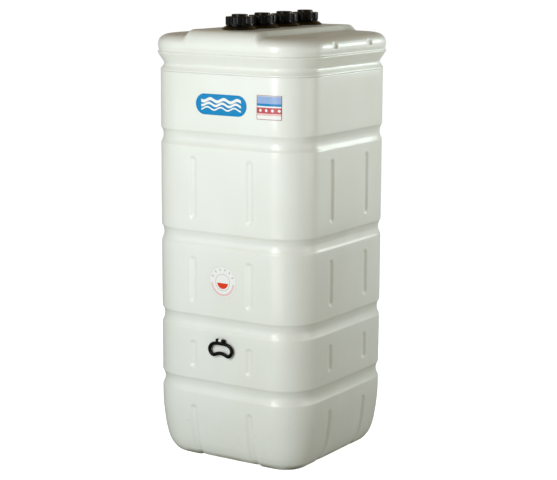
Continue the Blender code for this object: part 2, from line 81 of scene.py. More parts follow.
def closeShell(bm):
    # merges meeting edges and fills the rings between a wrapped grid and its middle
    bmesh.ops.remove_doubles(bm, verts=bm.verts, dist=mergeDistance)
    bmesh.ops.holes_fill(bm, edges=[edge for edge in bm.edges if edge.is_boundary], sides=0)


def wrapGrid(columns, rows, place, bm=None):
    # a flat grid whose corners are moved to place(column, row); meeting edges merge later
    bm = bm or bmesh.new()
    made = bmesh.ops.create_grid(bm, x_segments=columns, y_segments=rows, size=1.0)["verts"]
    for vert in made:
        column = round((vert.co.x + 1) / 2 * columns)
        row = round((vert.co.y + 1) / 2 * rows)
        vert.co = place(column, row)
    return bm


def fillet(points, steps=4, most=0.48):
    # each inner corner (across, along, reach) of a line becomes a short curve; most is the largest
    # share of an edge that a curve takes up
    line = [points[0][:2]]
    for before, here, after in zip(points, points[1:], points[2:]):
        corner = Vector(here[:2])
        inward, onward = Vector(before[:2]) - corner, Vector(after[:2]) - corner
        start = corner + inward.normalized() * min(here[2], most * inward.length)
        end = corner + onward.normalized() * min(here[2], most * onward.length)
        for number in range(steps + 1):
            share = number / steps
            line.append(tuple(start.lerp(corner, share).lerp(corner.lerp(end, share), share)))
    line.append(points[-1][:2])
    return line


def withStops(line, stops, apart=0.0006):
    # adds points where a line of (inset, z) crosses the given heights
    made = [line[0]]
    for (insetA, zA), (insetB, zB) in zip(line, line[1:]):
        inside = [stop for stop in stops if min(zA, zB) + apart < stop < max(zA, zB) - apart]
        for stop in sorted(inside, reverse=zB < zA):
            made.append((mix(insetA, insetB, (stop - zA) / (zB - zA)), stop))
        made.append((insetB, zB))
    return made


# Materials

def newMaterial(name, **settings):
    material = bpy.data.materials.new(name)
    material.use_nodes = True
    shader = material.node_tree.nodes["Principled BSDF"]
    for socket, value in settings.items():
        shader.inputs[socket.replace("_", " ")].default_value = value
    return material, material.node_tree, shader


def addNode(tree, kind, **inputs):
    node = tree.nodes.new(kind)
    for socket, value in inputs.items():
        feed(tree, node.inputs[socket.replace("_", " ")], value)
    return node


def feed(tree, socket, value):
    if isinstance(value, bpy.types.NodeSocket):
        tree.links.new(value, socket)
    else:
        socket.default_value = value


def sums(tree, operation, *values):
    node = tree.nodes.new("ShaderNodeMath")
    node.operation = operation
    for socket, value in zip(node.inputs, values):
        feed(tree, socket, value)
    return node.outputs[0]


def blendColour(tree, share, first, second):
    node = tree.nodes.new("ShaderNodeMix")
    node.data_type = "RGBA"
    feed(tree, node.inputs["Factor"], share)
    feed(tree, node.inputs["A"], first)
    feed(tree, node.inputs["B"], second)
    return node.outputs["Result"]


def remap(tree, value, low, high, toLow, toHigh):
    node = addNode(tree, "ShaderNodeMapRange", Value=value, From_Min=low, From_Max=high,
                   To_Min=toLow, To_Max=toHigh)
    return node.outputs["Result"]


def noiseAt(tree, place, scale, detail=2.0, roughness=0.5, stretch=None):
    if stretch:
        place = addNode(tree, "ShaderNodeMapping", Vector=place, Scale=stretch).outputs["Vector"]
    node = addNode(tree, "ShaderNodeTexNoise", Vector=place, Scale=scale, Detail=detail,
                   Roughness=roughness)
    return node.outputs["Fac"]


def objectPlace(tree):
    return tree.nodes.new("ShaderNodeTexCoord").outputs["Object"]


def axesOf(tree, place):
    split = addNode(tree, "ShaderNodeSeparateXYZ", Vector=place)
    return split.outputs["X"], split.outputs["Y"], split.outputs["Z"]


def bumpFrom(tree, shader, height, distance):
    bump = addNode(tree, "ShaderNodeBump", Height=height, Distance=distance)
    tree.links.new(bump.outputs["Normal"], shader.inputs["Normal"])


milky = {
    "clear": (0.83, 0.855, 0.835, 1.0),
    "cloudy": (0.79, 0.80, 0.765, 1.0),
    "innerClear": (0.76, 0.775, 0.74, 1.0),
    "innerCloudy": (0.71, 0.715, 0.67, 1.0),
    "scuffed": (0.56, 0.55, 0.49, 1.0),
    "scuffsMost": 0.16,
    "scuffsLow": 0.34,  # they get denser below this height
    # painted shade with some dirt, for the lowest band of the wall
    "dirtAndShade": (0.10, 0.095, 0.045, 1.0),
    "dirtAndShadeHeights": (0.008, 0.036),  # full below the first, gone above the second
    "dirtAndShadeMost": 0.95,
    "roughness": (0.38, 0.50),
    "coat": 0.35,
    "coatRoughness": 0.17,
    "scatter": 0.25,
    "scatterReach": 0.012,
    "relief": 0.00010,
    # noise scales, from broad to fine
    "clouds": 2.6,
    "gloss": 9.0,
    "patches": 13.0,
    "ripples": 14.0,
    "scuffs": 21.0,
    "grain": 260.0,
}


def milkyPlastic(name, clear, cloudy):
    material, tree, shader = newMaterial(name, IOR=1.52, Subsurface_Weight=milky["scatter"],
                                         Subsurface_Radius=(1.0, 0.95, 0.85),
                                         Subsurface_Scale=milky["scatterReach"],
                                         Coat_Weight=milky["coat"], Coat_Roughness=milky["coatRoughness"])
    place = objectPlace(tree)
    height = axesOf(tree, place)[2]
    # wall thickness drifts in broad upright clouds
    clouds = noiseAt(tree, place, milky["clouds"], 3.0, 0.55, (1.0, 1.0, 0.45))
    colour = blendColour(tree, remap(tree, clouds, 0.35, 0.68, 0.0, 1.0), clear, cloudy)
    # handling scuffs, thicker near the floor
    rubbed = noiseAt(tree, place, milky["scuffs"], 6.0, 0.68)
    nearFloor = remap(tree, height, 0.0, milky["scuffsLow"], 0.10, 0.0)
    scuffs = remap(tree, sums(tree, "ADD", rubbed, nearFloor), 0.64, 0.78, 0.0, milky["scuffsMost"])
    colour = blendColour(tree, scuffs, colour, milky["scuffed"])
    # painted shade with some dirt: a dark line low down, where the underside meets the floor and gets no
    # light from below
    patches = remap(tree, noiseAt(tree, place, milky["patches"], 3.0), 0.35, 0.62, 0.35, 1.0)
    lowDirtAndShade = remap(tree, height, *milky["dirtAndShadeHeights"], milky["dirtAndShadeMost"], 0.0)
    colour = blendColour(tree, sums(tree, "MULTIPLY", patches, lowDirtAndShade), colour, milky["dirtAndShade"])
    tree.links.new(colour, shader.inputs["Base Color"])
    gloss = remap(tree, noiseAt(tree, place, milky["gloss"], 4.0, 0.6), 0.3, 0.7, *milky["roughness"])
    rough = sums(tree, "ADD", gloss, sums(tree, "MULTIPLY", scuffs, 0.8))
    tree.links.new(rough, shader.inputs["Roughness"])
    # fine skin grain over slow ripples left by the mould
    grain = noiseAt(tree, place, milky["grain"], 2.0)
    ripples = noiseAt(tree, place, milky["ripples"], 2.0, 0.5, (1.0, 1.0, 0.3))
    bumpFrom(tree, shader, sums(tree, "ADD", grain, sums(tree, "MULTIPLY", ripples, 3.0)), milky["relief"])
    return material


milkyWhite = milkyPlastic("milkyWhite", milky["clear"], milky["cloudy"])
innerWhite = milkyPlastic("innerWhite", milky["innerClear"], milky["innerCloudy"])

black = {
    "colour": (0.0025, 0.0025, 0.003, 1.0),
    "worn": (0.011, 0.011, 0.011, 1.0),
    "wornMost": 0.6,
    "roughness": (0.24, 0.36),
    "shine": 0.12,
    "relief": 0.00006,
    # noise scales, from broad to fine
    "gloss": 34.0,
    "wear": 70.0,
    "grain": 620.0,
}


def blackPlastic(name):
    material, tree, shader = newMaterial(name, IOR=1.50, Specular_IOR_Level=black["shine"])
    place = objectPlace(tree)
    wear = remap(tree, noiseAt(tree, place, black["wear"], 5.0, 0.65), 0.52, 0.74, 0.0, black["wornMost"])
    tree.links.new(blendColour(tree, wear, black["colour"], black["worn"]), shader.inputs["Base Color"])
    gloss = remap(tree, noiseAt(tree, place, black["gloss"], 3.0), 0.3, 0.7, *black["roughness"])
    tree.links.new(gloss, shader.inputs["Roughness"])
    bumpFrom(tree, shader, noiseAt(tree, place, black["grain"], 2.0), black["relief"])
    return material


blackNylon = blackPlastic("blackNylon")


# The rounded plan that the tank and its head share

plan = {"width": 0.750, "depth": 0.770, "corner": 0.160, "cornerSteps": 18}
halfX, halfY = plan["width"] / 2, plan["depth"] / 2
straightX, straightY = halfX - plan["corner"], halfY - plan["corner"]


def planColumns(stopsX, stopsY):
    # (place, outward, side, along) for each upright line round the plan, from the front's left end
    columns = []
    for side in range(4):
        angle = math.radians(90 * side)
        outward = Vector((math.sin(angle), -math.cos(angle)))
        onward = Vector((math.cos(angle), math.sin(angle)))
        half, straight, stops = (halfY, straightX, stopsX) if side % 2 == 0 else (halfX, straightY, stopsY)
        for along in stops:
            columns.append((outward * half + onward * along, outward, side, along))
        centre = outward * (half - plan["corner"]) + onward * straight
        for step in range(1, plan["cornerSteps"]):
            turn = math.radians(90 * step / plan["cornerSteps"])
            away = outward * math.cos(turn) + onward * math.sin(turn)
            columns.append((centre + away * plan["corner"], away, None, None))
    return columns


def mirrored(places, straight):
    # upright lines on a flat side: the given ones on both halves, the middle and the two ends
    return sorted({round(sign * place, 5) for place in [*places, 0.0, straight] for sign in (-1, 1)})


def rowNormals(line, upward):
    # the outward (out, up) direction of each point of an (inset, z) line that runs up or down the outside
    normals = []
    for number in range(len(line)):
        before, after = line[max(number - 1, 0)], line[min(number + 1, len(line) - 1)]
        out, up = (after[1] - before[1]) * upward, (after[0] - before[0]) * upward
        size = math.hypot(out, up) or 1.0
        normals.append((out / size, up / size))
    return normals


def wander(x, y, z, reach, size):
    # blown walls are never quite flat
    return reach * noise.noise(Vector((x, y, z)) / size)


# Outer tank: grooves, sunk ribs and four feet in one blown shell

outer = {
    # the upright section: points are (inset, z, rounding), and a groove's z is from its own middle
    "inside": ((0.100, 0.022, 0.0), (0.071, 0.033, 0.01), (0.051, 0.054, 0.01), (0.0385, 0.081, 0.01),
               (0.0285, 0.120, 0.01), (0.0205, 0.165, 0.02), (0.0155, 0.235, 0.02), (0.0155, 1.577, 0.002),
               (0.0124, 1.587, 0.002)),
    "lip": ((0.0124, 1.6205, 0.0005), (0.0, 1.6205, 0.0035)),
    "lipFrom": 1.6,
    "grooves": (0.3245, 0.598, 0.9475, 1.356),
    "grooveLine": ((0.0, 0.0310, 0.0035), (0.0052, 0.0230, 0.004), (0.0088, 0.0120, 0.005),
                   (0.0105, 0.0, 0.005), (0.0088, -0.0125, 0.005), (0.0050, -0.0245, 0.005),
                   (0.0, -0.0330, 0.0035)),
    "pan": ((0.0, 0.220, 0.03), (0.0050, 0.1730, 0.02), (0.0098, 0.1360, 0.02), (0.0155, 0.1010, 0.015),
            (0.0235, 0.0685, 0.012), (0.0330, 0.0460, 0.010), (0.0450, 0.0265, 0.010),
            (0.0600, 0.0110, 0.010), (0.0750, 0.0030, 0.008), (0.0930, 0.0, 0.010), (0.125, 0.0, 0.01)),
    "footRecess": 0.014,
    "recessHalfWidth": (0.117, 0.134),
    # sunk ribs, in pairs between the grooves
    "ribPlace": 0.138,
    "ribHalfWidth": 0.0210,
    "ribFloorHalfWidth": 0.0030,
    "ribDepth": 0.0070,
    "ribSpans": ((1.019, 1.287), (0.673, 0.875), (0.398, 0.520), (-1.0, 0.2445)),  # the last goes under
    "ribRunsOut": (0.112, 0.130),  # insets
    # the lines of the mesh: close by the ribs, wider apart on the panels
    "ribColumns": (0.0240, 0.0030),  # reach and step
    "ribRowStep": 0.0027,
    "ribRowCount": 10,
    "plainColumns": (0.035, 0.070, 0.100, 0.188),
    "plainRows": (1.587, 1.547, 1.507, 1.467, 1.427, 1.247, 1.197, 1.147, 1.097, 1.057, 0.827, 0.777, 0.727,
                  0.457),
    "closestRows": 0.0002,
    "waviness": 0.0006,
    "waveSize": 0.11,
    "wavyHeights": (0.27, 1.617),
}


def recessLift(x, y):
    # how far the underside between the feet is raised
    low, high = outer["recessHalfWidth"]
    return outer["footRecess"] * (1 - smoothStep(low, high, min(abs(x), abs(y))))


def ribSink(along, z, inset):
    across = abs(abs(along) - outer["ribPlace"])
    if across > outer["ribHalfWidth"]:
        return 0.0
    sink = 0.0
    for low, high in outer["ribSpans"]:
        past = max(low + outer["ribHalfWidth"] - z, z - high + outer["ribHalfWidth"], 0.0)
        near = 1 - smoothStep(outer["ribFloorHalfWidth"], outer["ribHalfWidth"], math.hypot(across, past))
        sink = max(sink, near)
    return outer["ribDepth"] * sink * (1 - smoothStep(*outer["ribRunsOut"], inset))


def outerLine():
    # the section up the inside, over the lip and down to the feet, and the number of the lip's first point
    keys = [*outer["inside"], *outer["lip"]]
    for middle in reversed(outer["grooves"]):
        keys += [(inset, middle + rise, reach) for inset, rise, reach in outer["grooveLine"]]
    line = fillet([*keys, *outer["pan"], (plan["corner"], 0.0, 0.0)], steps=3)
    lip = next(number for number, (inset, z) in enumerate(line) if z > outer["lipFrom"])
    rows = list(outer["plainRows"])
    for low, high in outer["ribSpans"]:
        for end, step in ((low, outer["ribRowStep"]), (high, -outer["ribRowStep"])):
            if end > 0:
                rows += [end + step * number for number in range(-1, outer["ribRowCount"])]
    line = line[:lip] + withStops(line[lip:], rows)
    apart = [(Vector(here) - Vector(before)).length for before, here in zip(line, line[1:])]
    return [line[0]] + [point for point, gap in zip(line[1:], apart) if gap > outer["closestRows"]], lip


def makeOuterTank():
    line, lip = outerLine()
    normals = rowNormals(line, -1)
    places = [*outer["plainColumns"], *spread(outer["ribPlace"], *outer["ribColumns"])]
    stopsX, stopsY = mirrored(places, straightX), mirrored(places, straightY)
    columns = planColumns(stopsX, stopsY)

    def place(column, row):
        (x, y), (outX, outY), side, along = columns[column % len(columns)]
        (inset, z), (out, up) = line[row], normals[row]
        if row < lip:
            return Vector((x - outX * inset, y - outY * inset, z))
        sink = 0.0 if side is None else ribSink(along, z, inset)
        low, high = outer["wavyHeights"]
        if low < z < high:
            sink += wander(x, y, z, outer["waviness"], outer["waveSize"])
        reach = inset + sink * out
        point = Vector((x - outX * reach, y - outY * reach, z - sink * up))
        point.z = max(point.z, recessLift(point.x, point.y))
        return point

    def placeBelow(column, row):
        x, y = stopsX[column], stopsY[row]
        return Vector((x, y, recessLift(x, y)))

    bm = wrapGrid(len(columns), len(line) - 1, place)
    wrapGrid(len(stopsX) - 1, len(stopsY) - 1, placeBelow, bm)
    closeShell(bm)
    return addPiece("outer_tank_shell", bm, milkyWhite, "tank",
                    ("outer_wall", "outer_base"))


outerTank = makeOuterTank()
print("outer tank:", len(outerTank.data.polygons), "faces")


# Head of the inner tank, with its bridge from front to back

head = {
    # the upright section: points are (inset, z, rounding)
    "hollow": ((0.1600, 1.7630, 0.0), (0.0500, 1.7630, 0.01), (0.0240, 1.7595, 0.01),
               (0.0080, 1.7510, 0.01), (0.0, 1.7390, 0.01), (-0.0020, 1.7270, 0.006),
               (-0.0015, 1.7150, 0.006), (0.0020, 1.6980, 0.01), (0.0218, 1.6590, 0.01),
               (0.0218, 1.6020, 0.0)),
    "skirt": ((0.0185, 1.602, 0.0), (0.0185, 1.6208, 0.0003), (0.0, 1.6208, 0.0015), (0.0, 1.6262, 0.003),
              (0.0108, 1.6392, 0.005), (0.0142, 1.6480, 0.004), (0.0128, 1.6540, 0.003),
              (-0.0122, 1.6925, 0.0025), (-0.0124, 1.6965, 0.002)),
    "shoulder": ((-0.0072, 1.7015, 0.0025), (-0.0078, 1.7070, 0.003), (-0.0104, 1.7150, 0.006),
                 (-0.0108, 1.7240, 0.006), (-0.0104, 1.7340, 0.006), (-0.0080, 1.7425, 0.006),
                 (-0.0030, 1.7505, 0.007), (0.0050, 1.7580, 0.008), (0.0160, 1.7642, 0.009),
                 (0.0320, 1.7686, 0.010), (0.0550, 1.7700, 0.012), (0.1000, 1.7700, 0.012),
                 (0.1600, 1.7700, 0.0)),
    "bridgeShoulder": ((-0.0074, 1.7015, 0.0025), (-0.0082, 1.7070, 0.003), (-0.0116, 1.7150, 0.006),
                       (-0.0126, 1.7260, 0.006), (-0.0122, 1.7390, 0.006), (-0.0098, 1.7520, 0.006),
                       (-0.0045, 1.7655, 0.007), (0.0030, 1.7760, 0.008), (0.0130, 1.7850, 0.009),
                       (0.0260, 1.7910, 0.010), (0.0420, 1.7930, 0.012), (0.1000, 1.7930, 0.012),
                       (0.1600, 1.7930, 0.0)),
    "bridgeEdge": (0.1500, 0.1720),
    "bridgeEdgeLow": (0.1570, 0.1900),
    "bridgeEdgeInsets": (0.030, 0.110),
    "dimplePlace": (0.138, 1.7370),
    "dimpleRadius": 0.0215,
    "dimpleFloor": 0.25,  # share of the radius
    "dimpleSquash": 1.15,
    "dimpleDepth": 0.0065,
    "neckHole": 0.046,
    # the lines of the mesh: close by the bridge's edges and the dimples, wider apart between them
    "edgeColumns": (0.170, 0.0225, 0.0025),  # middle, reach and step
    "dimpleColumns": (0.0225, 0.0025),  # reach and step
    "frontColumns": (0.03, 0.06, 0.09, 0.12, 0.135, 0.204),
    "sideColumns": (0.03, 0.06, 0.09, 0.108, 0.175, 0.200),
    "waviness": 0.0005,
    "waveSize": 0.09,
    "stillPast": 0.155,  # inset of the deck's edge, where nothing wavers
}


def onBridge(x, inset):
    # 1 on the bridge, 0 beside it; its foot spreads towards the front and the back
    foot = 1 - smoothStep(*head["bridgeEdgeInsets"], inset)
    near, far = (mix(*edges, foot) for edges in zip(head["bridgeEdge"], head["bridgeEdgeLow"]))
    return 1 - smoothStep(near, far, abs(x))


def makeHead():
    hollow = fillet(head["hollow"], steps=2)
    low = fillet([*head["skirt"], *head["shoulder"]])
    high = fillet([*head["skirt"], *head["bridgeShoulder"]])
    rows = hollow + low
    normals = rowNormals(rows, 1)
    dimpleAlong, dimpleHeight = head["dimplePlace"]
    stopsX = mirrored([*head["frontColumns"], *spread(*head["edgeColumns"])], straightX)
    stopsY = mirrored([*head["sideColumns"], *spread(dimpleAlong, *head["dimpleColumns"])], straightY)
    columns = planColumns(stopsX, stopsY)

    def place(column, row):
        (x, y), (outX, outY), side, along = columns[column % len(columns)]
        (inset, z), (out, up) = rows[row], normals[row]
        if row < len(hollow):
            return Vector((x - outX * inset, y - outY * inset, z))
        if side in (0, 2):
            bridgeInset, bridgeZ = high[row - len(hollow)]
            share = onBridge(x, bridgeInset)
            inset, z = mix(inset, bridgeInset, share), mix(z, bridgeZ, share)
        sink = wander(x, y, z, head["waviness"], head["waveSize"])
        if side in (1, 3):
            away = math.hypot(abs(along) - dimpleAlong, (z - dimpleHeight) * head["dimpleSquash"])
            near = 1 - smoothStep(head["dimpleFloor"], 1.0, away / head["dimpleRadius"])
            sink += head["dimpleDepth"] * near
        if row == len(hollow) or inset > head["stillPast"]:
            sink = 0.0
        reach = inset + sink * out
        return Vector((x - outX * reach, y - outY * reach, z - sink * abs(up)))

    def placeDeck(column, row):
        x, y = stopsX[column], stopsY[row]
        return Vector((x, y, mix(low[-1][1], high[-1][1], onBridge(x, plan["corner"]))))

    bm = wrapGrid(len(columns), len(rows) - 1, place)
    wrapGrid(len(stopsX) - 1, len(stopsY) - 1, placeDeck, bm)
    closeShell(bm)
    return addPiece("head_shell", bm, milkyWhite, "tank", ("inner_head",))


headShell = makeHead()
print("head:", len(headShell.data.polygons), "faces")


# Necks and caps

caps = {"pitch": 0.1656, "count": 4, "seat": 1.793, "gap": 0.0003}
capPlaces = [(number + 1, (number - (caps["count"] - 1) / 2) * caps["pitch"])
             for number in range(caps["count"])]
neck = {
    # round sections are (radius, z), with z from the top of the bridge
    "line": ((0.0405, -0.031), (0.0450, -0.031), (0.0450, 0.0), (0.0722, 0.0), (0.0730, 0.0008),
             (0.0730, 0.0022), (0.0722, 0.0034), (0.0602, 0.0118), (0.0590, 0.0125), (0.0472, 0.0125),
             (0.0472, 0.0380), (0.0405, 0.0380)),
    "steps": 64,
}
plug = {
    "line": ((0.0, 0.020), (0.0397, 0.020), (0.0397, 0.0385), (0.0465, 0.0385), (0.0465, 0.0465),
             (0.0330, 0.0465), (0.0328, 0.0500), (0.0326, 0.0585), (0.0320, 0.0600), (0.0308, 0.0608),
             (0.0294, 0.0610), (0.0255, 0.0610), (0.0243, 0.0604), (0.0230, 0.0602), (0.0050, 0.0602),
             (0.0040, 0.0606), (0.0, 0.0607)),
    "steps": 56,
}
nut = {
    "lobes": 8,
    "stepsPerLobe": 16,
    "crest": 0.0570,
    "valley": 0.0512,
    "crestShare": (0.22, 0.36),
    "bottom": 0.0140,
    "top": 0.0515,
    "window": 0.0340,
    "bore": 0.0484,
    "ceiling": 0.0040,  # the thickness over the plug's flange
    "turns": (10, -8, -20, -18),  # degrees, as the photographed caps stand
}


def spinPiece(name, section, place, body, replaced):
    bm = bmesh.new()
    line = section["line"]
    verts = [bm.verts.new((radius, 0.0, z)) for radius, z in line]
    edges = [bm.edges.new(pair) for pair in zip(verts, verts[1:])]
    if line[0][0] > 0:
        edges.append(bm.edges.new((verts[-1], verts[0])))
    bmesh.ops.spin(bm, geom=verts + edges, cent=(0, 0, 0), axis=(0, 0, 1), angle=2 * math.pi,
                   steps=section["steps"], use_merge=True)
    bmesh.ops.translate(bm, verts=bm.verts, vec=place)
    addPiece(name, bm, blackNylon, body, (replaced,), sharpDeg=32)


def makeNut(number, y):
    # rows: (radius on a crest, radius in a valley, z), round the section from the window outwards
    crest, valley, bottom, top = nut["crest"], nut["valley"], nut["bottom"], nut["top"]
    window, bore, ceiling = nut["window"], nut["bore"], top - nut["ceiling"]
    rows = [(window, window, top - 0.0008), (window + 0.0006, window + 0.0006, top),
            (crest - 0.0030, valley - 0.0022, top), (crest - 0.0016, valley - 0.0012, top - 0.0005),
            (crest - 0.0005, valley - 0.0004, top - 0.0016), (crest, valley, top - 0.0034),
            (crest, valley, top - 0.012), (crest, valley, bottom + 0.0130),
            (crest - 0.0003, valley + 0.0004, bottom + 0.0085),
            (crest - 0.0012, valley + 0.0018, bottom + 0.0045),
            (crest - 0.0024, valley + 0.0026, bottom + 0.0014), (crest - 0.0034, valley + 0.0022, bottom),
            (bore, bore, bottom), (bore, bore, ceiling), (window, window, ceiling)]
    count = nut["lobes"] * nut["stepsPerLobe"]
    turned = math.radians(nut["turns"][number - 1])

    def place(column, row):
        crestRadius, valleyRadius, z = rows[row % len(rows)]
        offMiddle = abs(column / nut["stepsPerLobe"] % 1.0 - 0.5)
        radius = mix(crestRadius, valleyRadius, smoothStep(*nut["crestShare"], offMiddle))
        angle = turned + 2 * math.pi * column / count
        return Vector((radius * math.cos(angle), y + radius * math.sin(angle), caps["seat"] + z))

    bm = wrapGrid(count, len(rows), place)
    addPiece(f"cap_{number}_ring", bm, blackNylon, f"nut_{number}",
             (f"cap_{number}_nut",), sharpDeg=40)


def cutNeckHoles():
    radius = head["neckHole"]
    for number, y in capPlaces:
        bm = bmesh.new()
        bmesh.ops.create_cone(bm, cap_ends=True, segments=48, radius1=radius, radius2=radius, depth=0.2,
                              matrix=Matrix.Translation((0.0, y, caps["seat"])))
        mesh = bpy.data.meshes.new("hole")
        bm.to_mesh(mesh)
        bm.free()
        cutter = bpy.data.objects.new("hole", mesh)
        bpy.context.scene.collection.objects.link(cutter)
        cut = headShell.modifiers.new("hole", "BOOLEAN")
        cut.operation, cut.solver, cut.object = "DIFFERENCE", "EXACT", cutter
        bpy.context.view_layer.update()
        shown = headShell.evaluated_get(bpy.context.evaluated_depsgraph_get())
        shaped = bpy.data.meshes.new_from_object(shown)
        headShell.modifiers.clear()
        headShell.data = shaped
        bpy.data.objects.remove(cutter)


for number, y in capPlaces:
    spot = Vector((0.0, y, caps["seat"]))
    spinPiece(f"neck_{number}_collar", neck, spot + Vector((0, 0, caps["gap"])), "tank",
              f"neck_fitting_{number}")
    spinPiece(f"cap_{number}_boss", plug, spot, f"plug_{number}", f"cap_{number}_plug")
    makeNut(number, y)
cutNeckHoles()
print("necks and caps done")


# Grip on the front

grip = {
    "axis": (0.008, -0.398, 0.536),
    # the right half of the bar's middle line, from its top to its foot, as (across, z)
    "line": ((0.0, 0.5235), (0.0150, 0.5233), (0.0300, 0.5215), (0.0420, 0.5168), (0.0500, 0.5090),
             (0.0543, 0.4995), (0.0538, 0.4905), (0.0495, 0.4815), (0.0425, 0.4750), (0.0358, 0.4732),
             (0.0270, 0.4757), (0.0150, 0.4803), (0.0, 0.4826)),
    "barAcross": 0.0074,
    "barDeep": 0.0063,
    "stations": 120,
    "around": 18,
    "lookAhead": 0.004,  # share of the way round, for the bar's direction
    "ears": ((-0.0120, -0.0015), (0.0145, 0.0270)),
    "earRadius": 0.0074,
    "earRounding": 0.0016,
    "webHalfDepth": 0.0052,
    "webFoot": 0.5190,
    "webRounding": 0.0014,
    "webInset": 0.0003,
}
lug = {
    "ends": (-0.0005, 0.0130),
    "radius": 0.0058,
    "rounding": 0.0012,
    "root": 0.0105,
    "nose": 0.97,  # share of the radius
    "inset": 0.0003,
}
pin = {
    "ends": (-0.0150, 0.0300),
    "radius": 0.0030,
    "rounding": 0.0008,
    "headRadius": 0.0046,
    "headLong": 0.0026,
    "headRounding": 0.0010,
}


def gripLine(share):
    # a smooth closed curve through the points of both halves
    right = [Vector((grip["axis"][0] + across, grip["axis"][1], z)) for across, z in grip["line"]]
    left = [Vector((grip["axis"][0] - across, grip["axis"][1], z)) for across, z in grip["line"][-2:0:-1]]
    ring = right + left
    spot = share % 1.0 * len(ring)
    here, part = int(spot), spot % 1.0
    a, b, c, d = (ring[(here + step) % len(ring)] for step in (-1, 0, 1, 2))
    return b + 0.5 * part * (c - a + part * (2 * a - 5 * b + 4 * c - d + part * (3 * (b - c) + d - a)))


def edgesOf(verts):
    # each edge once, in the order of the vertices
    return list(dict.fromkeys(edge for vert in verts for edge in vert.link_edges))


def roundEdges(bm, edges, rounding):
    bmesh.ops.bevel(bm, geom=edges, offset=rounding, segments=3, profile=0.5, affect="EDGES",
                    material=-1)


def roundBar(bm, radius, left, right, rounding):
    # a bar along X on the grip's axis, its two rims rounded
    place = Matrix.Translation(((left + right) / 2, *grip["axis"][1:]))
    made = bmesh.ops.create_cone(bm, cap_ends=True, segments=32, radius1=radius, radius2=radius,
                                 depth=right - left, matrix=place @ Matrix.Rotation(math.pi / 2, 4, "Y"))
    rims = [edge for edge in edgesOf(made["verts"])
            if abs(edge.verts[0].co.x - edge.verts[1].co.x) < mergeDistance]
    roundEdges(bm, rims, rounding)


def roundBlock(bm, low, high, rounding):
    # a box between two corners, all its edges rounded
    low, high = Vector(low), Vector(high)
    shape = Matrix.Translation((low + high) / 2) @ Matrix.Diagonal((*(high - low), 1.0))
    made = bmesh.ops.create_cube(bm, size=1.0, matrix=shape)
    roundEdges(bm, edgesOf(made["verts"]), rounding)


def makeGrip():
    def place(column, row):
        share = column / grip["stations"]
        ahead, behind = gripLine(share + grip["lookAhead"]), gripLine(share - grip["lookAhead"])
        outward = (ahead - behind).normalized().cross(Vector((0, 1, 0)))
        turn = 2 * math.pi * row / grip["around"]
        across = outward * grip["barAcross"] * math.cos(turn)
        return gripLine(share) + across + Vector((0, grip["barDeep"] * math.sin(turn), 0))

    bm = wrapGrid(grip["stations"], grip["around"], place)
    y, z = grip["axis"][1:]
    inset, depth = grip["webInset"], grip["webHalfDepth"]
    for left, right in grip["ears"]:
        roundBar(bm, grip["earRadius"], left, right, grip["earRounding"])
        roundBlock(bm, (left + inset, y - depth, grip["webFoot"]), (right - inset, y + depth, z),
                   grip["webRounding"])
    addPiece("grip_loop", bm, blackNylon, "grip", ("handle_grip",), sharpDeg=40)


def makeLug():
    left, right = lug["ends"]
    y, z = grip["axis"][1:]
    bm = bmesh.new()
    roundBar(bm, lug["radius"], left, right, lug["rounding"])
    start, long = left + lug["inset"], right - left - 2 * lug["inset"]
    root = [bm.verts.new((start, -halfY, z + side * lug["root"])) for side in (-1, 1)]
    nose = [bm.verts.new((start, y, z + side * lug["radius"] * lug["nose"])) for side in (1, -1)]
    grown = bmesh.ops.extrude_face_region(bm, geom=[bm.faces.new(root + nose)])["geom"]
    moved = [part for part in grown if isinstance(part, bmesh.types.BMVert)]
    bmesh.ops.translate(bm, verts=moved, vec=(long, 0, 0))
    addPiece("grip_lug", bm, milkyWhite, "tank", ("handle_lug",), sharpDeg=50)


def makePin():
    low, high = pin["ends"]
    bm = bmesh.new()
    roundBar(bm, pin["radius"], low, high, pin["rounding"])
    roundBar(bm, pin["headRadius"], high - pin["headLong"], high, pin["headRounding"])
    roundBar(bm, pin["headRadius"], low, low + pin["headLong"], pin["headRounding"])
    addPiece("grip_pin", bm, blackNylon, "tank", ("handle_pin",), sharpDeg=50)


makeLug()
makePin()
makeGrip()
print("grip done")


# The inner wall and bottom keep their solids and get a better material

for name in ("inner_wall", "inner_bottom"):
    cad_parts[name].material_slots[0].material = innerWhite


# Stickers

sticker = {
    "proud": 0.0007,
    "wide": {"middle": (0.003, 1.499), "size": (0.246, 0.084)},
    "round": {"middle": (0.010, 0.777), "size": (0.133, 0.133)},
    "square": {"along": (0.174, 0.2843), "z": (1.453, 1.549)},
    "shine": 0.3,
    "roughness": (0.24, 0.40),
    "relief": 0.00012,
    "rub": 55.0,
    "creases": 38.0,
}
ink = {
    "blue": (0.0, 0.225, 0.53, 1.0),
    "paleBlue": (0.29, 0.42, 0.72, 1.0),
    "red": (0.52, 0.075, 0.10, 1.0),
    "brightRed": (0.72, 0.045, 0.012, 1.0),
    "darkRed": (0.30, 0.045, 0.055, 1.0),
    "pink": (0.80, 0.55, 0.55, 1.0),
    "white": (0.86, 0.86, 0.86, 1.0),
    "grey": (0.30, 0.30, 0.31, 1.0),
}


def onFront(along, z, out):
    # a point on the outer tank's front, at a way along it from its middle and raised by out
    if along <= straightX:
        x, y, away = along, -halfY, Vector((0.0, -1.0))
    else:
        turn = (along - straightX) / plan["corner"]
        away = Vector((math.sin(turn), -math.cos(turn)))
        x, y = Vector((straightX, -straightY)) + away * plan["corner"]
    raised = out - wander(x, y, z, outer["waviness"], outer["waveSize"])
    return Vector((x + away.x * raised, y + away.y * raised, z))


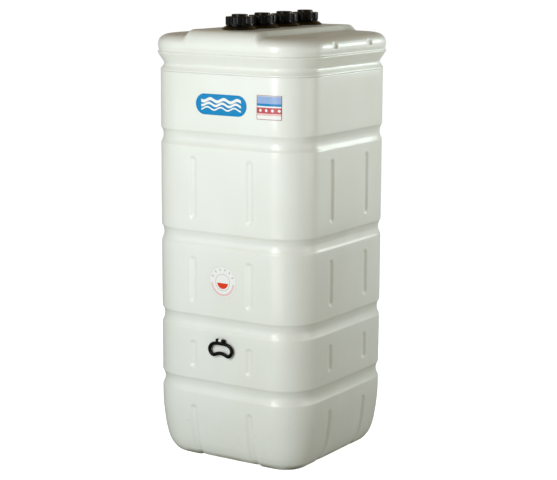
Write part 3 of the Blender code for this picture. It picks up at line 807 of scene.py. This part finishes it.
def roundedSticker(middle, size):
    # a capsule outline, or a disc where both sizes are the same
    reach, radius = (size[0] - size[1]) / 2, size[1] / 2
    rim = []
    for side in (1, -1):
        for step in range(33):
            turn = math.radians(-90 + 180 * step / 32) * side
            rim.append((side * (reach + radius * math.cos(turn)), radius * math.sin(turn)))
        if reach > 0:
            rim += [(side * reach * (1 - step / 8), side * radius) for step in range(1, 16)]
    # rows: (share of the way to the rim, share of the film's thickness), and the back last
    rows = [(0.0, 1.0), (0.35, 1.0), (0.70, 1.0), (0.985, 1.0), (0.995, 0.85), (1.0, 0.5), (1.0, 0.1),
            (0.0, 0.1)]

    def place(column, row):
        across, up = rim[column % len(rim)]
        share, out = rows[row]
        start = min(max(across, -reach), reach)
        along = middle[0] + mix(start, across, share)
        return onFront(along, middle[1] + up * share, sticker["proud"] * out)

    return wrapGrid(len(rim), len(rows) - 1, place)


def squareSticker(along, z):
    # it bends round the corner, and its outermost lines are its turned down edge
    ways = [along[0]] + [mix(*along, step / 28) for step in range(29)] + [along[1]]
    ups = [z[0]] + [mix(*z, step / 16) for step in range(17)] + [z[1]]

    def place(column, row):
        inside = 0 < column < len(ways) - 1 and 0 < row < len(ups) - 1
        return onFront(ways[column], ups[row], sticker["proud"] * (1.0 if inside else 0.1))

    def placeBack(column, row):
        return onFront(along[column], mix(*z, row / 16), 0.0)

    bm = wrapGrid(len(ways) - 1, len(ups) - 1, place)
    return wrapGrid(1, 16, placeBack, bm)


def film(name):
    material, tree, shader = newMaterial(name, IOR=1.46, Specular_IOR_Level=sticker["shine"])
    place = objectPlace(tree)
    rub = remap(tree, noiseAt(tree, place, sticker["rub"], 4.0, 0.6), 0.3, 0.7, *sticker["roughness"])
    tree.links.new(rub, shader.inputs["Roughness"])
    bumpFrom(tree, shader, noiseAt(tree, place, sticker["creases"], 3.0), sticker["relief"])
    return material, tree, shader, axesOf(tree, place)


def within(tree, value, edge, soft=0.0005):
    # 1 where the value is under the edge, 0 beyond it
    return remap(tree, value, edge - soft, edge + soft, 1.0, 0.0)


def awayFrom(tree, value, middle):
    return sums(tree, "ABSOLUTE", sums(tree, "SUBTRACT", value, middle))


def distance(tree, across, up):
    squares = [sums(tree, "POWER", way, 2.0) for way in (across, up)]
    return sums(tree, "SQRT", sums(tree, "ADD", *squares))


waves = {
    # (rise, half width, start of its swing in radians), thinner from top to bottom
    "lines": ((0.017, 0.0062, 0.0), (0.0, 0.0048, 0.7), (-0.016, 0.0032, 1.4)),
    "length": 0.0655,
    "swing": 0.0055,
    "reach": 0.096,
    "fade": 0.0012,
}


def blueFilm():
    material, tree, shader, (x, y, z) = film("blueFilm")
    middle = sticker["wide"]["middle"]
    colour = ink["blue"]
    reach = within(tree, awayFrom(tree, x, middle[0]), waves["reach"], waves["fade"])
    for rise, half, turn in waves["lines"]:
        swing = sums(tree, "SINE", sums(tree, "MULTIPLY_ADD", x, 2 * math.pi / waves["length"], turn))
        line = sums(tree, "MULTIPLY_ADD", swing, waves["swing"], middle[1] + rise)
        wave = within(tree, sums(tree, "ABSOLUTE", sums(tree, "SUBTRACT", z, line)), half)
        colour = blendColour(tree, sums(tree, "MULTIPLY", wave, reach), colour, ink["white"])
    tree.links.new(colour, shader.inputs["Base Color"])
    return material


bands = {
    # (top as a share of the height, ink), from the top down
    "inks": ((0.96, "paleBlue"), (0.66, "blue"), (0.56, "white"), (0.50, "red"), (0.26, "pink"),
             (0.17, "white")),
    "dotsFrom": 0.178,
    "dotsApart": 0.027,
    "dotsHigh": 0.38,
    "dotRadius": 0.0058,
    "ends": (0.174, 0.2823),
    "frame": 0.0020,
}


def bandedFilm():
    material, tree, shader, (x, y, z) = film("bandedFilm")
    low, high = sticker["square"]["z"]
    colour = ink["white"]
    for top, name in bands["inks"]:
        colour = blendColour(tree, within(tree, z, mix(low, high, top)), colour, ink[name])
    # a row of white dots on the red band
    half = bands["dotsApart"] / 2
    across = sums(tree, "PINGPONG", sums(tree, "SUBTRACT", x, bands["dotsFrom"]), half)
    up = sums(tree, "SUBTRACT", z, mix(low, high, bands["dotsHigh"]))
    dot = distance(tree, sums(tree, "SUBTRACT", across, half), up)
    colour = blendColour(tree, within(tree, dot, bands["dotRadius"]), colour, ink["white"])
    # a dark frame
    left, right = bands["ends"]
    edge = sums(tree, "MINIMUM", sums(tree, "SUBTRACT", x, left), sums(tree, "SUBTRACT", right, x))
    inward = sums(tree, "SUBTRACT", (high - low) / 2, awayFrom(tree, z, (low + high) / 2))
    frameEdge = within(tree, sums(tree, "MINIMUM", edge, inward), bands["frame"])
    colour = blendColour(tree, frameEdge, colour, ink["darkRed"])
    tree.links.new(colour, shader.inputs["Base Color"])
    return material


dial = {
    # rings are (radius of the middle line, half width)
    "ring": (0.0530, 0.0042),
    "ringBelow": (-0.004, 0.002),
    "ticks": 14,  # in half a turn
    "tickHalf": (0.035, 0.012),
    "ticksAbove": (-0.010, 0.002),
    "disc": 0.0270,
    "discBelow": -0.003,
    "arc": (0.0345, 0.0013),
    "arcShare": 0.55,
    "border": (0.0648, 0.0008),
    "borderShare": 0.4,
}


def dialFilm():
    material, tree, shader, (x, y, z) = film("dialFilm")
    middle = sticker["round"]["middle"]
    across, up = sums(tree, "SUBTRACT", x, middle[0]), sums(tree, "SUBTRACT", z, middle[1])
    away = distance(tree, across, up)

    def ringAt(radius, half):
        return within(tree, awayFrom(tree, away, radius), half)

    def laidOver(colour, share, limit, name):
        return blendColour(tree, sums(tree, "MULTIPLY", share, limit), colour, ink[name])

    # a pale ring round the lower half, grey ticks round the upper half
    ring = ringAt(*dial["ring"])
    colour = laidOver(ink["white"], ring, within(tree, up, *dial["ringBelow"]), "pink")
    sector = sums(tree, "PINGPONG", sums(tree, "ARCTAN2", up, across), math.pi / dial["ticks"])
    ticks = within(tree, awayFrom(tree, sector, 0.0), *dial["tickHalf"])
    above = within(tree, sums(tree, "MULTIPLY", up, -1.0), *dial["ticksAbove"])
    colour = laidOver(colour, ticks, sums(tree, "MULTIPLY", ring, above), "grey")
    # a filled half disc under a thin arc, and a faint border
    disc = within(tree, away, dial["disc"])
    colour = laidOver(colour, disc, within(tree, up, dial["discBelow"]), "brightRed")
    colour = laidOver(colour, ringAt(*dial["arc"]), dial["arcShare"], "grey")
    colour = laidOver(colour, ringAt(*dial["border"]), dial["borderShare"], "grey")
    tree.links.new(colour, shader.inputs["Base Color"])
    return material


for name, makeShape, makeFilm, slotName in (("wide", roundedSticker, blueFilm, "blue_film"),
                                            ("round", roundedSticker, dialFilm, "printed_film"),
                                            ("square", squareSticker, bandedFilm, "printed_film")):
    addPiece(f"{name}_label", makeShape(**sticker[name]), makeFilm(), "tank",
             (f"{name}_sticker",), sharpDeg=50)
print("stickers done")


# Small moulded pips

pips = {
    # (across, z) on the front, then (depth, z) on the right side
    "front": ((0.177, 0.911), (0.233, 0.156), (-0.169, 0.170), (-0.020, 1.167), (0.0144, 0.503)),
    "right": ((0.053, 1.573),),
    "radius": 0.0030,
    "proud": 0.0012,
}


def makePips():
    bm = bmesh.new()
    flat = pips["proud"] / pips["radius"]
    spots = [((x, -halfY, z), (1.0, flat, 1.0)) for x, z in pips["front"]]
    spots += [((halfX, y, z), (flat, 1.0, 1.0)) for y, z in pips["right"]]
    for spot, stretch in spots:
        shape = Matrix.Translation(spot) @ Matrix.Diagonal((*stretch, 1.0))
        bmesh.ops.create_uvsphere(bm, u_segments=16, v_segments=10, radius=pips["radius"], matrix=shape)
    addPiece("moulded_pips", bm, milkyWhite, "tank")


makePips()


# Floor, light and camera

studio = {
    "floor": (0.93, 0.93, 0.925, 1.0),
    # painted shadow on the floor under the tank's raised middle
    "underneath": (0.045, 0.038, 0.022, 1.0),
    "underneathReach": (0.282, 0.296),
    "underneathSoft": 0.004,
    "floorSize": 260.0,
    "floorDrop": 0.0005,
    "floorSun": 3.4,
    # the room as matt surfaces get it and as glossy ones show it: below, level and above
    "roomLight": ((0.48, 0.475, 0.40, 1.0), (0.03, 0.03, 0.03, 1.0), (0.01, 0.01, 0.01, 1.0)),
    "roomMirrored": ((0.02, 0.02, 0.02, 1.0), (0.43, 0.45, 0.45, 1.0), (0.54, 0.30, 0.01, 1.0)),
    "roomFalls": (-0.02, -0.5),  # from level to below, by how far a ray points down
    "roomRises": (0.02, 0.7),
    # name: place, aim, size, power, colour
    "lights": {
        "frontHigh": ((0.0, -3.6, 2.6), (0.0, -0.385, 1.2), (1.4, 1.4), 62.0, (0.985, 1.0, 0.94)),
        "front": ((0.0, -4.2, 1.5), (0.0, -0.385, 1.3), (0.7, 0.9), 42.7, (0.95, 0.93, 1.0)),
        "frontLow": ((0.6, -3.4, 0.2), (0.0, 0.0, 0.6), (2.0, 0.4), 11.0, (0.86, 1.0, 0.87)),
        "leftFront": ((-1.8, -3.6, 1.5), (0.0, -0.385, 1.2), (1.6, 1.6), 11.7, (0.72, 1.0, 0.86)),
        "right": ((3.2, 0.2, 1.5), (0.3, 0.0, 1.2), (1.6, 1.6), 18.8, (1.0, 0.95, 0.80)),
        "backRight": ((2.3, 2.2, 1.4), (0.3, 0.1, 1.2), (1.2, 1.8), 11.8, (0.98, 1.0, 0.93)),
        "backHigh": ((1.1, 1.6, 2.3), (0.3, 0.1, 1.5), (0.8, 0.8), 6.9, (0.83, 1.0, 0.96)),
        "glint": ((1.95, 2.6, 2.15), (0.35, 0.1, 1.5), (0.8, 0.8), 21.0, (0.89, 0.98, 0.97)),
    },
}


def makeFloor():
    material, tree, shader = newMaterial("paleFloor", Roughness=0.9, Specular_IOR_Level=0.0)
    # painted shadow: no light gets in under the raised middle, whose plan is a cross
    x, y, _ = (sums(tree, "ABSOLUTE", way) for way in axesOf(tree, objectPlace(tree)))
    low, high = outer["recessHalfWidth"]
    narrow = remap(tree, sums(tree, "MINIMUM", x, y), low - studio["underneathSoft"], high, 1.0, 0.0)
    long = remap(tree, sums(tree, "MAXIMUM", x, y), *studio["underneathReach"], 1.0, 0.0)
    colour = blendColour(tree, sums(tree, "MULTIPLY", narrow, long), studio["floor"], studio["underneath"])
    tree.links.new(colour, shader.inputs["Base Color"])
    bm = bmesh.new()
    bmesh.ops.create_grid(bm, x_segments=1, y_segments=1, size=studio["floorSize"] / 2)
    mesh = bpy.data.meshes.new("floor")
    bm.to_mesh(mesh)
    bm.free()
    mesh.materials.append(material)
    floor = bpy.data.objects.new("floor", mesh)
    bpy.context.scene.collection.objects.link(floor)
    floor.location.z = -studio["floorDrop"]
    floor.visible_diffuse = floor.visible_glossy = False
    return floor


def makeLights(floor):
    for name, (place, aim, size, power, colour) in studio["lights"].items():
        data = bpy.data.lights.new(name, "AREA")
        data.shape, data.size, data.size_y = "RECTANGLE", *size
        data.energy, data.color = power, colour
        lamp = bpy.data.objects.new(name, data)
        lamp.location = place
        lamp.rotation_euler = (Vector(aim) - Vector(place)).to_track_quat("-Z", "Y").to_euler()
        lamp.visible_camera = False
        bpy.context.scene.collection.objects.link(lamp)
    # an even glow on the floor alone
    data = bpy.data.lights.new("floorGlow", "SUN")
    data.energy, data.angle, data.use_shadow = studio["floorSun"], math.radians(60), False
    lamp = bpy.data.objects.new("floorGlow", data)
    bpy.context.scene.collection.objects.link(lamp)
    receivers = bpy.data.collections.new("floorOnly")
    receivers.objects.link(floor)
    lamp.light_linking.receiver_collection = receivers


def makeWorld():
    world = bpy.data.worlds.new("studio")
    world.use_nodes = True
    world.cycles.sampling_method = "NONE"  # so that glossy rays alone meet the mirrored room
    bpy.context.scene.world = world
    tree = world.node_tree
    up = axesOf(tree, tree.nodes.new("ShaderNodeTexCoord").outputs["Generated"])[2]
    fall = remap(tree, up, *studio["roomFalls"], 0.0, 1.0)
    rise = remap(tree, up, *studio["roomRises"], 0.0, 1.0)

    def room(below, level, above):
        return blendColour(tree, fall, blendColour(tree, rise, level, above), below)

    ray = tree.nodes.new("ShaderNodeLightPath").outputs
    lit, mirroredRoom = room(*studio["roomLight"]), room(*studio["roomMirrored"])
    around = blendColour(tree, ray["Is Glossy Ray"], lit, mirroredRoom)
    shown = blendColour(tree, ray["Is Camera Ray"], around, (1.0, 1.0, 1.0, 1.0))
    tree.links.new(shown, tree.nodes["Background"].inputs["Color"])


camera = {
    "lens": 107.79,
    "film": 36.0,
    "sees": 400.0,
    "place": (3.7855, -5.8463, 2.1715),
    "azimuth": 32.9234,
    "turnRight": 0.216,
    "down": 10.4008,
    "roll": 0.2841,
}


def makeCamera():
    data = bpy.data.cameras.new("camera")
    data.sensor_width, data.lens, data.clip_end = camera["film"], camera["lens"], camera["sees"]
    azimuth = math.radians(camera["azimuth"] - camera["turnRight"])
    down, roll = math.radians(camera["down"]), math.radians(camera["roll"])
    level = Vector((-math.sin(azimuth), math.cos(azimuth), 0.0)) * math.cos(down)
    forward = level - Vector((0.0, 0.0, math.sin(down)))
    right = Vector((math.cos(azimuth), math.sin(azimuth), 0.0))
    up = right.cross(forward)
    rolledRight = right * math.cos(roll) + up * math.sin(roll)
    rolledUp = up * math.cos(roll) - right * math.sin(roll)
    eye = bpy.data.objects.new("camera", data)
    turn = Matrix((rolledRight, rolledUp, -forward)).transposed().to_4x4()
    eye.matrix_world = Matrix.Translation(camera["place"]) @ turn
    bpy.context.scene.collection.objects.link(eye)
    bpy.context.scene.camera = eye


makeLights(makeFloor())
makeWorld()
makeCamera()
bpy.context.scene.view_settings.view_transform = "Standard"
print("studio ready")
